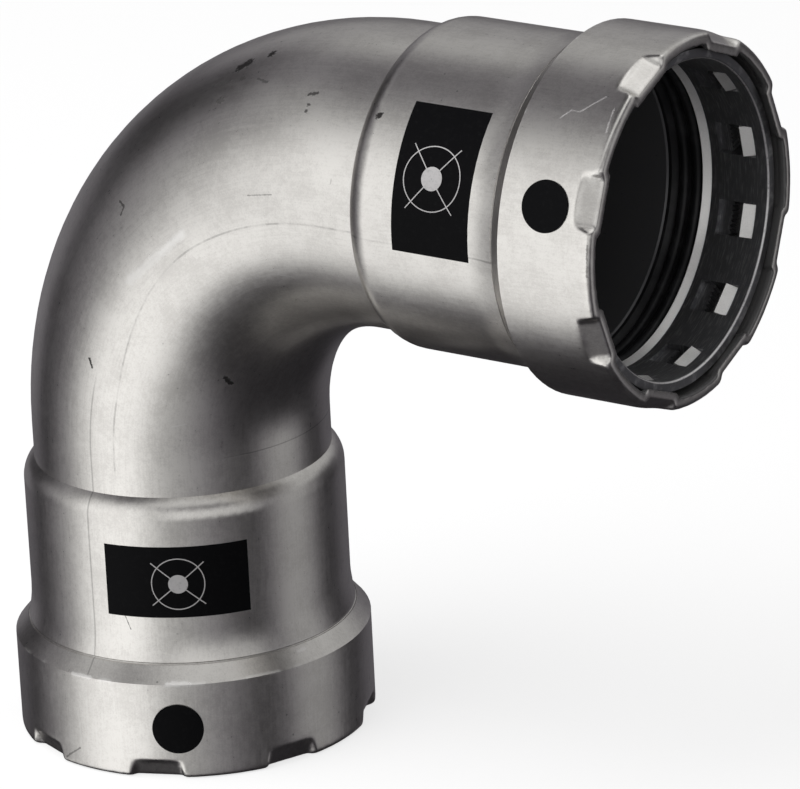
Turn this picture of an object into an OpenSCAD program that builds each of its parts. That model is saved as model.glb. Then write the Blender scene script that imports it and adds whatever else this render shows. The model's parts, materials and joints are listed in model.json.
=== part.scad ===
// Ninety degree press elbow for steel pipe.
// The lower leg stands on the Z axis with its rim at z = 0, and the upper leg runs along +X.
// Each end is drawn in its own frame: radius from the leg's axis, and depth inwards from the rim.

/* [Pipe] */
// Outside diameter of the pipe that the sockets take
pipe_od = 88.9; // [76.1:0.1:108]
// Radial gap between the pipe and the socket bore
pipe_clearance = 0.85; // [0.5:0.05:1.5]

/* [Bend] */
// Radius of the bend, to the middle of the tube
bend_radius = 89; // [75:1:130]
// Wall of the bent tube
tube_wall = 4; // [3:0.1:5]
// Radial ledge inside the tube that stops the pipe
stop_ledge = 2.75; // [1.5:0.05:4]
// Straight tube between the bend and the socket
tangent_length = 11; // [4:0.5:30]

/* [Socket] */
// Wall of the socket
socket_wall = 4; // [3.2:0.1:5]
// Distance from the rim to the crease where the tube begins
socket_depth = 88; // [70:1:120]
// Length of the rounded step from the crease up to the socket
step_length = 7; // [5:0.5:10]

/* [Collar] */
// Depth of the groove inside the collar, from the socket bore outwards
groove_depth = 6.7; // [6:0.1:9]
// Wall of the collar
collar_wall = 3; // [2.4:0.1:4]
// Slope of the shoulder behind the collar, from the axis
shoulder_angle = 41; // [36:1:50]
// Rise of the flare from the socket to the kink at the shoulder
flare_rise = 1.3; // [0.8:0.1:2]
// Length of the flare
flare_length = 10; // [6:0.5:16]
// Radius of the fine groove along the kink
kink_groove = 0.4; // [0.2:0.05:0.6]
// Rounding of the rim's outer edge
rim_rounding = 1.4; // [0.6:0.1:2]
// How far the rim turns in from the groove
rim_lip = 0.8; // [0.4:0.1:1.2]
// Length of the turned-in lip, inwards from the rim
rim_lip_length = 2; // [1:0.1:2.5]

/* [Crimped rim] */
// Number of dents round the rim
dent_count = 8; // [6:1:10]
// Width of a dent's floor along the rim
dent_width = 14.2; // [11:0.1:18]
// Length of a dent, inwards from the rim
dent_length = 6; // [5:0.1:7]
// Depth of a dent at the rim
dent_depth = 3.3; // [2.4:0.1:3.6]
// Depth of a dent at its inner end
dent_start = 0.6; // [0.5:0.1:1.2]
// Lean of a dent's two sides
dent_flank = 35; // [20:1:45]
// Height of the upper part of a dent's sides, which flattens out towards the collar
dent_shoulder = 1.8; // [1:0.1:2.2]

/* [Grip ring] */
// Distance from the rim to the ring's front
ring_front = 3.2; // [2:0.1:5]
// Radial gap between the ring and the groove
ring_clearance = 0.3; // [0.15:0.05:0.5]
// How far the ring's inner face stays outside the socket bore
ring_reach = 1.5; // [1:0.1:2]
// Rounding off the ring's front inner edge
ring_chamfer = 0.6; // [0.3:0.1:1]
// Number of windows round the ring
window_count = 12; // [8:1:16]
// Turn of the first window
window_turn = 18; // [0:1:30]
// Width of a window round the ring
window_width = 10.2; // [8:0.1:12]
// Length of a window along the axis
window_length = 12.6; // [11:0.1:16]
// Ring material in front of a window
window_front = 4; // [2.5:0.1:6]
// Ring material behind a window
window_back = 2.9; // [2:0.1:5]
// Length of the lowered sill at the window's inner end
sill_length = 3.6; // [2.5:0.1:5]
// How far the sill lies below the ring's inner face
sill_drop = 1.5; // [0.8:0.1:2.5]
// Number of points along the sill's edge
sill_points = 7; // [4:1:10]
// Height of the points along the sill's edge
sill_point_height = 0.9; // [0.5:0.1:1.4]

/* [Grip teeth] */
// Length of a tooth along the axis
tooth_length = 4.8; // [3.5:0.1:6]
// How far the tooth's edge stays outside the socket bore
tooth_reach = 0.7; // [0.4:0.05:1]
// Rise of the tooth's face from its front to its cutting edge
tooth_rake = 1.8; // [1:0.1:2.4]
// Length of the relief behind the cutting edge
tooth_relief = 1; // [0.6:0.1:1.6]
// Gap between a tooth and its window
tooth_clearance = 0.15; // [0.1:0.05:0.3]

/* [Separator ring] */
// Thickness of the separator ring
separator_thickness = 3; // [2:0.1:4]
// How far the separator ring stays outside the socket bore
separator_reach = 0.7; // [0.4:0.05:1]
// Rise of the separator ring's sloping inner face
separator_rake = 1.4; // [0.8:0.1:2]
// Chamfer on the separator ring's back edge
separator_chamfer = 0.5; // [0.2:0.1:0.9]

/* [Seal] */
// Length of the seal's straight outer face
seal_land = 3.9; // [3:0.1:6]
// Radius of the seal's two ridges
ridge_radius = 1.6; // [1.2:0.05:1.8]
// How far the ridges stay outside the socket bore
ridge_reach = 0.35; // [0.2:0.05:0.8]
// Distance from the seal's front to its first ridge
ridge_first = 1.9; // [1.8:0.1:2.5]
// Distance between the two ridges
ridge_pitch = 4.4; // [3.8:0.1:4.6]
// Length of the lip at the seal's inner end
seal_lip = 1; // [0.5:0.1:2]
// Gap between the seal and its groove
seal_clearance = 0.15; // [0.05:0.05:0.3]

/* [Assembly] */
// Gap between neighbours in the stack of rings
stack_clearance = 0.1; // [0.05:0.05:0.3]

/* [Hidden] */
$fn = 128;
// Overrun of a cut past the face that it opens
past = 1;

// Radii from the pipe outwards
pipe_r = pipe_od / 2;
bore_r = pipe_r + pipe_clearance;
tube_bore_r = pipe_r - stop_ledge;
tube_r = tube_bore_r + tube_wall;
socket_r = bore_r + socket_wall;
groove_r = bore_r + groove_depth;
collar_r = groove_r + collar_wall;
kink_r = socket_r + flare_rise;
rim_r = groove_r - rim_lip;

// Depths from the rim inwards
ring_length = window_front + window_length + window_back;
ring_back = ring_front + ring_length;
separator_front = ring_back + stack_clearance;
seal_front = separator_front + separator_thickness + stack_clearance;
groove_end = seal_front + seal_land;
bore_front = groove_end + groove_depth / tan(shoulder_angle);
collar_edge = groove_end + collar_wall * tan(shoulder_angle / 2);
kink = collar_edge + (collar_r - kink_r) / tan(shoulder_angle);
flare_end = kink + flare_length;
step_start = socket_depth - step_length;
leg_length = socket_depth + tangent_length;
centre_to_end = leg_length + bend_radius;

// Radii of the two blends, each an arc that leaves the socket without a break
flare_radius = (flare_length * flare_length + flare_rise * flare_rise) / (2 * flare_rise);
step_height = socket_r - tube_r;
step_radius = (step_length * step_length + step_height * step_height) / (2 * step_height);

// Dents: half a pitch off the plane of the bend, with an even slope
dent_turn = 180 / dent_count;
dent_slope = (dent_depth - dent_start) / dent_length;
dent_lean = atan(dent_slope);
dent_floor_r = collar_r - dent_depth;
dent_height = dent_depth + past;
dent_knee = dent_depth - dent_shoulder;
dent_knee_flare = dent_knee * tan(dent_flank);
dent_flare = dent_knee_flare + (dent_height - dent_knee) * tan((dent_flank + 90) / 2);
dent_spread = collar_wall * (1 / cos(dent_flank) - tan(dent_flank));

// Grip ring: a nose that follows the slope of the dents' backs, then the full radius
ring_r = groove_r - ring_clearance;
ring_inner_r = bore_r + ring_reach;
ring_nose_r = ring_r - dent_start - dent_slope * max(0, dent_length - ring_front);
ring_neck_r = ring_r - dent_start;
window_start = ring_front + window_front;
window_end = window_start + window_length;
sill_start = window_end - sill_length;
sill_r = ring_inner_r + sill_drop;

// Tooth: wedge with its cutting edge towards the bend
tooth_start = window_start + tooth_clearance;
tooth_end = tooth_start + tooth_length;
tooth_tip_r = bore_r + tooth_reach;
tooth_back_r = ring_r - ring_clearance;
tooth_width = window_width - 2 * tooth_clearance;

separator_back = separator_front + separator_thickness;
separator_inner_r = bore_r + separator_reach;

// Seal: half-round ridges on a straight inner face, and a lip that ends on the groove's slope
seal_r = groove_r - seal_clearance;
seal_inner_r = bore_r + ridge_reach + ridge_radius;
seal_corner = groove_end - seal_clearance * tan(shoulder_angle / 2);
seal_lip_r = bore_r + ridge_reach;
seal_back = seal_corner + (seal_r - seal_lip_r) / tan(shoulder_angle);
seal_lip_front = seal_back - seal_lip;

STEEL = "#a29d96";
BRIGHT_STEEL = "#c8c7c2";
BLACK_CAGE = "#26262a";
RUBBER = "#121214";

// Places its children at the upper end, with their depth along -X
module at_upper_end() {
    translate([centre_to_end, 0, centre_to_end]) rotate([0, -90, 0]) children();
}

// Repeats its children round the leg's axis
module around(count, turn) {
    for (i = [0 : count - 1]) rotate([0, 0, turn + i * 360 / count]) children();
}

// Bar across a radius, from an outline drawn as radius and depth
module bar(width) {
    rotate([90, 0, 0]) linear_extrude(width, center = true) children();
}

// Outside of one leg, as radius and depth
module leg_outline() {
    difference() {
        polygon([
            [0, 0],
            [collar_r - rim_rounding, 0],
            [collar_r, rim_rounding],
            [collar_r, collar_edge],
            [kink_r, kink],
            [kink_r, flare_end],
            [socket_r, flare_end],
            [socket_r, step_start],
            [tube_r, step_start],
            [tube_r, leg_length],
            [0, leg_length],
        ]);
        intersection() {
            translate([socket_r + flare_radius, flare_end]) circle(flare_radius);
            translate([socket_r, kink]) square([flare_rise + past, flare_length]);
        }
        translate([kink_r, kink]) circle(kink_groove);
    }
    translate([collar_r - rim_rounding, rim_rounding]) circle(rim_rounding);
    intersection() {
        translate([socket_r - step_radius, step_start]) circle(step_radius);
        translate([tube_r - past, step_start]) square([step_height + past, step_length]);
    }
}

// Inside of one leg: groove, seat for the seal, socket bore, pipe stop and tube bore
module leg_bore_outline() {
    polygon([
        [0, -past],
        [rim_r, -past],
        [rim_r, rim_lip_length],
        [groove_r, rim_lip_length + rim_lip],
        [groove_r, groove_end],
        [bore_r, bore_front],
        [bore_r, step_start],
        [tube_bore_r, socket_depth],
        [tube_bore_r, leg_length],
        [0, leg_length],
    ]);
}

// Quarter turn of a round bar, from the top of the lower leg to the start of the upper one
module bend(radius) {
    translate([bend_radius, 0, leg_length])
        rotate([0, -90, 0]) rotate([90, 0, 0])
            rotate_extrude(angle = 90) translate([bend_radius, 0]) circle(radius);
}

// Bar along the slope of a dent, with a flat floor at a radius and two leaning sides
module dent_bar(floor_r, width) {
    translate([floor_r, 0, 0]) rotate([0, dent_lean, 0])
        linear_extrude(4 * dent_length, center = true) polygon([
            [0, -width / 2],
            [dent_knee, -width / 2 - dent_knee_flare],
            [dent_height, -width / 2 - dent_flare],
            [dent_height, width / 2 + dent_flare],
            [dent_knee, width / 2 + dent_knee_flare],
            [0, width / 2],
        ]);
}

// Sheet of one dent, which leans inwards to the rim
module dent_sheet() {
    intersection() {
        dent_bar(dent_floor_r - collar_wall, dent_width + 2 * dent_spread);
        translate([bore_r, -collar_r / 2, 0])
            cube([groove_depth + 0.1 * collar_wall, collar_r, dent_length]);
    }
}

// Hollow of one dent, outside its sheet
module dent_hollow() {
    intersection() {
        dent_bar(dent_floor_r, dent_width);
        translate([bore_r, -collar_r / 2, -past])
            cube([groove_depth + collar_wall + past, collar_r, dent_length + past]);
    }
}

// Bent tube with a socket, a shoulder and a crimped collar at each end
module elbow_body() {
    color(STEEL) difference() {
        union() {
            difference() {
                union() {
                    rotate_extrude() leg_outline();
                    at_upper_end() rotate_extrude() leg_outline();
                    bend(tube_r);
                }
                rotate_extrude() leg_bore_outline();
                at_upper_end() rotate_extrude() leg_bore_outline();
                bend(tube_bore_r);
            }
            around(dent_count, dent_turn) dent_sheet();
            at_upper_end() around(dent_count, dent_turn) dent_sheet();
        }
        around(dent_count, dent_turn) dent_hollow();
        at_upper_end() around(dent_count, dent_turn) dent_hollow();
    }
}

// Opening of one window, with a row of points along its inner edge
module window() {
    pitch = window_width / sill_points;
    saw = [for (i = [0 : sill_points - 1], high = [0, 1])
        [window_width / 2 - pitch * (i + high / 2), sill_start - sill_point_height * high]];
    translate([pipe_r, 0, 0]) rotate([90, 0, 90]) linear_extrude(ring_r + past - pipe_r) polygon(concat(
        [[-window_width / 2, window_start], [window_width / 2, window_start]],
        saw,
        [[-window_width / 2, sill_start]]
    ));
}

// Lowered sill behind one window
module window_sill() {
    translate([pipe_r, -window_width / 2, sill_start - sill_point_height])
        cube([sill_r - pipe_r, window_width, sill_length + sill_point_height]);
}

// Cage that carries the teeth
module grip_ring() {
    color(BLACK_CAGE) difference() {
        rotate_extrude() polygon([
            [ring_inner_r + ring_chamfer, ring_front],
            [ring_nose_r, ring_front],
            [ring_neck_r, dent_length],
            [ring_r, dent_length + ring_r - ring_neck_r],
            [ring_r, ring_back],
            [ring_inner_r, ring_back],
            [ring_inner_r, ring_front + ring_chamfer],
        ]);
        around(window_count, window_turn) {
            window();
            window_sill();
        }
    }
}

// One tooth in the front of each window
module grip_teeth() {
    color(BRIGHT_STEEL) around(window_count, window_turn) bar(tooth_width) polygon([
        [tooth_back_r, tooth_start],
        [tooth_tip_r + tooth_rake, tooth_start],
        [tooth_tip_r, tooth_end - tooth_relief],
        [tooth_tip_r + tooth_rake, tooth_end],
        [tooth_back_r, tooth_end],
    ]);
}

// Steel ring that keeps the teeth away from the seal
module separator_ring() {
    color(BRIGHT_STEEL) rotate_extrude() polygon([
        [separator_inner_r + separator_rake, separator_front],
        [ring_r, separator_front],
        [ring_r, separator_back],
        [separator_inner_r + separator_chamfer, separator_back],
        [separator_inner_r, separator_back - separator_chamfer],
    ]);
}

// Rubber seal with two half-round ridges, seated on the slope of the groove
module seal() {
    color(RUBBER) rotate_extrude() union() {
        polygon([
            [seal_inner_r, seal_front],
            [seal_r, seal_front],
            [seal_r, seal_corner],
            [seal_lip_r, seal_back],
            [seal_lip_r, seal_lip_front],
            [seal_inner_r, seal_lip_front - ridge_radius],
        ]);
        for (i = [0, 1])
            translate([seal_inner_r, seal_front + ridge_first + i * ridge_pitch]) circle(ridge_radius);
    }
}

module lower_grip_ring() { grip_ring(); }
module lower_grip_teeth() { grip_teeth(); }
module lower_separator_ring() { separator_ring(); }
module lower_seal() { seal(); }
module upper_grip_ring() { at_upper_end() grip_ring(); }
module upper_grip_teeth() { at_upper_end() grip_teeth(); }
module upper_separator_ring() { at_upper_end() separator_ring(); }
module upper_seal() { at_upper_end() seal(); }

elbow_body();
lower_grip_ring();
lower_grip_teeth();
lower_separator_ring();
lower_seal();
upper_grip_ring();
upper_grip_teeth();
upper_separator_ring();
upper_seal();
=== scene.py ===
"""Looks of a ninety degree press elbow: finishes, printed fields, studio and camera."""

import json
import logging
import math
from collections.abc import Iterator
from contextlib import contextmanager
from dataclasses import dataclass
from enum import Enum
from functools import reduce

import bpy
from mathutils import Matrix, Vector

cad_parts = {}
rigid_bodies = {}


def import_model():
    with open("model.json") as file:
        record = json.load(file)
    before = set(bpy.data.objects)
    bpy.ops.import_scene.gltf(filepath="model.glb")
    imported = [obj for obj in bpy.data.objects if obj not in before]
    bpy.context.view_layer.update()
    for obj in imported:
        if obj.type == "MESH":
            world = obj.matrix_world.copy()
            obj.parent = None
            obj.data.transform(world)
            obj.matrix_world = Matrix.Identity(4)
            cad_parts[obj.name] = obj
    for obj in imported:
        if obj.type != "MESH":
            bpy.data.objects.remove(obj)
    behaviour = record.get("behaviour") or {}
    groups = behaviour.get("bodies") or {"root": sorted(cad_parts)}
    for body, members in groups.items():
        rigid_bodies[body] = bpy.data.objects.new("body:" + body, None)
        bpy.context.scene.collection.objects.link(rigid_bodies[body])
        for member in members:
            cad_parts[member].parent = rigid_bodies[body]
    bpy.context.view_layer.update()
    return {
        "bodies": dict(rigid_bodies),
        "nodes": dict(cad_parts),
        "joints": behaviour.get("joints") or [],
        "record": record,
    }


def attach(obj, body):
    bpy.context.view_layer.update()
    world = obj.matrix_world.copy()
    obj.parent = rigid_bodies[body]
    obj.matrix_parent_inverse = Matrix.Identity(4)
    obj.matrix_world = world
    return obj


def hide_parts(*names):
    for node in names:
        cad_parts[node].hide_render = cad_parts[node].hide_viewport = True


LOG = logging.getLogger("press_elbow")
MM = 0.001
BEND_RADIUS = 89.0
LEG_LENGTH = 99.0
CENTRE_TO_END = 188.0
SOCKET_R = 49.3
COLLAR_R = 55.0
COLLAR_EDGE = 30.92
KINK = 35.98
DENT_LENGTH = 6.0
RING_FRONT = 3.2
RING_INNER_R = 46.8
OUTER_WALL_R = COLLAR_R - 2.0
PRINT_GAP = 0.02
TARGET_GAP = 0.08
MERGE_DISTANCE = 0.001 * MM
SMOOTH_ANGLE = 40.0
PHOTO_WIDTH = 800
DEGREES = 180.0 / math.pi

Colour = tuple[float, float, float]
Spot = tuple[float, float, float]
Socket = bpy.types.NodeSocket


class Leg(Enum):
    """The two legs of the elbow."""

    LOWER = "lower"
    UPPER = "upper"

    def radial(self, turn: float) -> Vector:
        """Outward direction at a turn in degrees."""
        c, s = math.cos(math.radians(turn)), math.sin(math.radians(turn))
        return Vector((c, s, 0.0)) if self is Leg.LOWER else Vector((0.0, s, c))

    def inward(self) -> Vector:
        """Direction from the rim into the leg."""
        return Vector((0.0, 0.0, 1.0)) if self is Leg.LOWER else Vector((-1.0, 0.0, 0.0))

    def rim(self) -> Vector:
        """Centre of the rim, in metres."""
        end = 0.0 if self is Leg.LOWER else CENTRE_TO_END
        return Vector((end, 0.0, end)) * MM

    def place(self, radius: float, turn: float, depth: float) -> Matrix:
        """Frame on the leg's surface, with Z outward and Y into the leg.

        Args:
            radius: distance from the leg's axis, in millimetres.
            turn: place round the axis, in degrees.
            depth: distance from the rim, in millimetres.

        Returns:
            A rigid matrix in metres.
        """
        out = self.radial(turn)
        along = self.inward()
        side = along.cross(out)
        spot = self.rim() + out * radius * MM + along * depth * MM
        frame = Matrix((side, along, out)).transposed().to_4x4()
        frame.translation = spot
        return frame


@dataclass(frozen=True)
class Ramp:
    """A smooth step: low..high of a value becomes start..end."""

    low: float
    high: float
    start: float = 0.0
    end: float = 1.0


@dataclass(frozen=True)
class Band:
    """A soft line: full within half of its centre, and fading over soft past that."""

    centre: float
    half: float
    soft: float


@dataclass(frozen=True)
class Noise:
    """Scale and make-up of a noise."""

    scale: float
    detail: float = 2.0
    rough: float = 0.5


FALLING = Ramp(0.0, 1.0, 1.0, 0.0)
PAST_DENTS = Ramp(DENT_LENGTH + 0.1, DENT_LENGTH + 0.4)
FACING_IN = Ramp(-0.4, -0.15, 1.0, 0.0)


class NodeSheet:
    """Adds and joins the nodes of one material or world."""

    def __init__(self, tree: bpy.types.NodeTree) -> None:
        """Starts on an empty tree."""
        self.tree = tree
        tree.nodes.clear()

    def node(self, kind: str, inputs: dict[str | int, object] | None = None, **settings: object) -> bpy.types.Node:
        """Adds a node, sets its properties and feeds its inputs.

        Args:
            kind: the node's type.
            inputs: what to feed, by the input's name or number.
            settings: properties by name.

        Returns:
            The node.
        """
        made = self.tree.nodes.new(kind)
        for name, value in settings.items():
            setattr(made, name, value)
        for key, value in (inputs or {}).items():
            self.feed(made.inputs[key], value)
        return made

    def feed(self, target: Socket, value: object) -> None:
        """Links a socket, or sets a constant on it.

        Args:
            target: the input to feed.
            value: another node's socket, or a constant.
        """
        if isinstance(value, bpy.types.NodeSocket):
            self.tree.links.new(value, target)
        else:
            target.default_value = value

    def principled(self) -> bpy.types.Node:
        """Adds a Principled shader with its output.

        Returns:
            The shader.
        """
        shader = self.node("ShaderNodeBsdfPrincipled")
        self.node("ShaderNodeOutputMaterial", {"Surface": shader.outputs[0]})
        return shader

    def math(self, operation: str, *values: object, clamp: bool = False) -> Socket:
        """Adds a Math node and returns its result."""
        return self.node("ShaderNodeMath", dict(enumerate(values)), operation=operation, use_clamp=clamp).outputs[0]

    def vector(self, operation: str, *values: object) -> bpy.types.Node:
        """Adds a Vector Math node."""
        return self.node("ShaderNodeVectorMath", dict(enumerate(values)), operation=operation)

    def span(self, value: Socket, ramp: Ramp) -> Socket:
        """Maps a value through a ramp."""
        inputs = dict(enumerate((value, ramp.low, ramp.high, ramp.start, ramp.end)))
        return self.node("ShaderNodeMapRange", inputs, interpolation_type="SMOOTHSTEP").outputs[0]

    def band(self, value: Socket, band: Band) -> Socket:
        """One on a band, fading to nothing past its edges."""
        away = self.math("ABSOLUTE", self.math("SUBTRACT", value, band.centre))
        return self.span(away, Ramp(band.half, band.half + band.soft, 1.0, 0.0))

    def noise(self, vector: Socket, noise: Noise) -> Socket:
        """Adds a Noise Texture and returns its value."""
        inputs = {"Vector": vector, "Scale": noise.scale, "Detail": noise.detail, "Roughness": noise.rough}
        return self.node("ShaderNodeTexNoise", inputs).outputs[0]

    def cells(self, vector: Socket, scale: float) -> Socket:
        """Adds a Voronoi Texture and returns the distance to the nearest point."""
        return self.node("ShaderNodeTexVoronoi", {"Vector": vector, "Scale": scale}).outputs["Distance"]

    def blend(self, factor: Socket, first: object, second: object) -> Socket:
        """Mixes two colours."""
        one, two = (c if isinstance(c, bpy.types.NodeSocket) else (*c, 1.0) for c in (first, second))
        return self.node("ShaderNodeMix", {0: factor, 6: one, 7: two}, data_type="RGBA").outputs[2]

    def between(self, factor: Socket, first: Socket, second: Socket) -> Socket:
        """Mixes two vectors."""
        return self.node("ShaderNodeMix", {0: factor, 4: first, 5: second}, data_type="VECTOR").outputs[1]

    def dot(self, first: object, second: object) -> Socket:
        """Dot product of two vectors."""
        return self.vector("DOT_PRODUCT", first, second).outputs["Value"]

    def scaled(self, vector: object, factor: object) -> Socket:
        """Multiplies a vector by a number."""
        return self.node("ShaderNodeVectorMath", {0: vector, "Scale": factor}, operation="SCALE").outputs[0]

    def most(self, masks: list[Socket]) -> Socket:
        """Highest of several masks."""
        return reduce(lambda first, second: self.math("MAXIMUM", first, second), masks)

    def all(self, *masks: object) -> Socket:
        """Product of several masks."""
        return reduce(lambda first, second: self.math("MULTIPLY", first, second), masks)

    def total(self, *shares: tuple[Socket, float]) -> Socket:
        """Sum of several values, each times its share."""
        first, *others = shares
        return reduce(lambda done, pair: self.math("MULTIPLY_ADD", *pair, done), others, self.math("MULTIPLY", *first))

    def combine(self, x: object, y: object, z: object) -> Socket:
        """Joins three numbers into a vector."""
        return self.node("ShaderNodeCombineXYZ", {0: x, 1: y, 2: z}).outputs[0]

    def place(self) -> tuple[Socket, Socket, Socket, Socket]:
        """Object coordinates in millimetres, as a vector and its three parts."""
        scaled = self.scaled(self.node("ShaderNodeTexCoord").outputs["Object"], 1.0 / MM)
        return scaled, *self.node("ShaderNodeSeparateXYZ", {0: scaled}).outputs


@dataclass(frozen=True)
class PipeSpace:
    """Coordinates that follow the bent pipe as if it were straight."""

    vector: Socket
    along: Socket
    outward: Socket
    side: Socket
    depth: Socket
    reach: Socket
    radial: Socket
    axis: Socket

    @classmethod
    def on(cls, sheet: NodeSheet) -> "PipeSpace":
        """Builds the coordinates on a sheet.

        Args:
            sheet: where the nodes go.

        Returns:
            Place in object millimetres, distance along the pipe, distance outward
            of its centre line in the plane of the bend, distance sideways, depth
            from the nearer rim, distance from the centre line, and the directions
            away from the centre line and along it.
        """
        vector, x, y, z = sheet.place()
        dx = sheet.math("SUBTRACT", BEND_RADIUS, x)
        dz = sheet.math("SUBTRACT", z, LEG_LENGTH)
        cx = sheet.math("MAXIMUM", dx, 0.0)
        cz = sheet.math("MAXIMUM", dz, 0.0)
        swing = sheet.math("SQRT", sheet.math("MULTIPLY_ADD", cx, cx, sheet.math("MULTIPLY", cz, cz)))
        outward = sheet.math("SUBTRACT", swing, BEND_RADIUS)
        angle = sheet.math("ARCTAN2", cz, cx)
        below = sheet.math("MINIMUM", dz, 0.0)
        beyond = sheet.math("MINIMUM", dx, 0.0)
        along = sheet.math("MULTIPLY_ADD", angle, BEND_RADIUS, sheet.math("SUBTRACT", below, beyond))
        depth = sheet.math("MINIMUM", z, sheet.math("SUBTRACT", CENTRE_TO_END, x))
        ux = sheet.math("DIVIDE", cx, swing)
        uz = sheet.math("DIVIDE", cz, swing)
        across = sheet.combine(sheet.all(ux, outward, -1.0), y, sheet.math("MULTIPLY", uz, outward))
        reach = sheet.vector("LENGTH", across).outputs["Value"]
        radial = sheet.vector("NORMALIZE", across).outputs[0]
        return cls(vector, along, outward, y, depth, reach, radial, sheet.combine(uz, 0.0, ux))

    def stretched(self, sheet: NodeSheet, along: float, across: float) -> Socket:
        """The straightened coordinates, scaled along the pipe and across it."""
        shares = ((self.along, along), (self.outward, across), (self.side, across))
        return sheet.combine(*(sheet.math("MULTIPLY", value, share) for value, share in shares))

    def turned_normal(self, sheet: NodeSheet) -> Socket:
        """Normal of the turned surfaces, free of the mesh's facets.

        Args:
            sheet: where the nodes go.

        Returns:
            The mesh's normal near the rim, and further in one with the same
            lean along the pipe that points exactly away from the centre line.
        """
        given = sheet.node("ShaderNodeNewGeometry").outputs["Normal"]
        lean = sheet.dot(given, self.axis)
        rest = sheet.math("SUBTRACT", 1.0, sheet.math("MULTIPLY", lean, lean), clamp=True)
        rise = sheet.math("MULTIPLY", sheet.math("SQRT", rest), sheet.math("SIGN", sheet.dot(given, self.radial)))
        even = sheet.vector("ADD", sheet.scaled(self.radial, rise), sheet.scaled(self.axis, lean)).outputs[0]
        return sheet.between(sheet.span(self.depth, PAST_DENTS), given, even)

    def inside(self, sheet: NodeSheet) -> Socket:
        """One on faces that look towards the centre line."""
        given = sheet.node("ShaderNodeNewGeometry").outputs["Normal"]
        return sheet.span(sheet.dot(given, self.radial), FACING_IN)


@dataclass(frozen=True)
class Mark:
    """A pit, a scratch or a painted highlight streak from one place on the body to another, in millimetres."""

    start: Spot
    end: Spot
    width: float
    strength: float = 1.0
    unevenness: float = 2.4
    core: float = 0.45

    def mask(self, sheet: NodeSheet, vector: Socket, wobble: Socket) -> Socket:
        """Adds the mark's nodes.

        Args:
            sheet: where the nodes go.
            vector: place in object millimetres.
            wobble: noise that makes the outline uneven.

        Returns:
            The mark's strength on it, and nothing beside it.
        """
        run = Vector(self.end) - Vector(self.start)
        gone = sheet.vector("SUBTRACT", vector, self.start).outputs[0]
        share = sheet.math("DIVIDE", sheet.dot(gone, tuple(run)), run.length_squared, clamp=True)
        away = sheet.vector("DISTANCE", gone, sheet.scaled(tuple(run), share)).outputs["Value"]
        away = sheet.math("MULTIPLY_ADD", wobble, self.unevenness * self.width, away)
        return sheet.span(away, Ramp(self.core * self.width, self.width, self.strength, 0.0))


DARK_MARKS = (
    Mark((45.5, -20.9, 221.0), (48.1, -19.6, 222.6), 2.1),
    Mark((54.8, -17.9, 225.5), (55.3, -17.1, 225.8), 1.4),
    Mark((77.9, -31.7, 220.4), (80.5, -31.3, 221.0), 0.7, 0.8),
    Mark((79.1, -34.0, 218.0), (79.3, -34.0, 218.0), 0.7, 0.8),
    Mark((79.0, -35.4, 216.5), (79.2, -35.4, 216.5), 0.7, 0.8),
    Mark((106.2, -37.9, 219.5), (107.0, -37.4, 220.0), 1.1),
    Mark((12.2, -39.5, 180.3), (14.6, -40.8, 179.4), 0.5, 0.8),
    Mark((14.6, -40.8, 179.4), (13.6, -41.4, 176.8), 0.4, 0.7),
    Mark((1.6, -45.5, 130.8), (2.4, -45.6, 128.4), 0.5),
    Mark((40.9, -31.0, 126.6), (41.5, -29.2, 124.1), 0.9),
    Mark((44.3, -30.6, 213.5), (45.3, -30.7, 213.7), 1.4, 0.45),
    Mark((49.0, -25.4, 219.5), (50.0, -25.6, 219.7), 1.1, 0.5),
    Mark((56.0, -26.6, 220.7), (60.4, -28.2, 220.6), 0.5, 0.5),
    Mark((38.9, -25.0, 215.8), (44.5, -25.2, 218.0), 0.8, 0.3),
    Mark((63.5, -45.2, 191.4), (72.2, -45.2, 192.9), 0.2, 0.5),
    Mark((92.9, -44.0, 200.3), (93.1, -45.6, 189.8), 0.2, 0.4),
    Mark((187.0, -54.0, 197.4), (187.0, -54.8, 188.4), 0.35, 0.5),
    Mark((10.6, -48.1, 50.8), (12.2, -47.7, 46.4), 0.2, 0.7),
    Mark((-11.0, -53.9, 2.2), (-4.7, -54.8, 6.7), 0.35, 0.6),
)
# Pale scratches and nicks, and a painted highlight streak along the bend.
PALE_MARKS_AND_PAINTED_HIGHLIGHT = (
    Mark((169.0, -38.0, 227.8), (171.6, -35.7, 229.8), 0.35, 0.5),
    Mark((171.6, -35.7, 229.8), (174.4, -35.9, 229.7), 0.3, 0.4),
    Mark((174.4, -35.9, 229.7), (180.1, -30.9, 233.5), 0.35, 0.5),
    Mark((184.5, -33.8, 231.4), (185.3, -39.5, 226.2), 0.4, 0.5),
    Mark((25.6, -38.5, 110.9), (29.3, -36.1, 111.5), 0.3, 0.35),
    Mark((70.3, -41.8, 167.0), (75.4, -41.2, 166.8), 0.3, 0.45),
    # Painted highlight: these two marks paint a strip light's reflection as a bright streak along the bend.
    Mark((18.7, -45.6, 158.2), (39.2, -45.6, 176.0), 1.9, 0.4),
    Mark((30.5, -45.6, 168.6), (39.0, -45.6, 175.9), 1.0, 0.6),
    Mark((-6.0, -54.7, 30.9), (1.0, -55.0, 31.0), 0.8, 0.6),
    Mark((25.5, -48.7, 31.2), (31.5, -45.1, 31.4), 1.2, 0.6),
    Mark((44.0, -32.9, 31.3), (49.3, -24.4, 31.3), 0.7, 0.5),
    Mark((50.0, -14.5, 34.2), (50.6, -12.0, 34.5), 0.7, 0.5),
)


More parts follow.
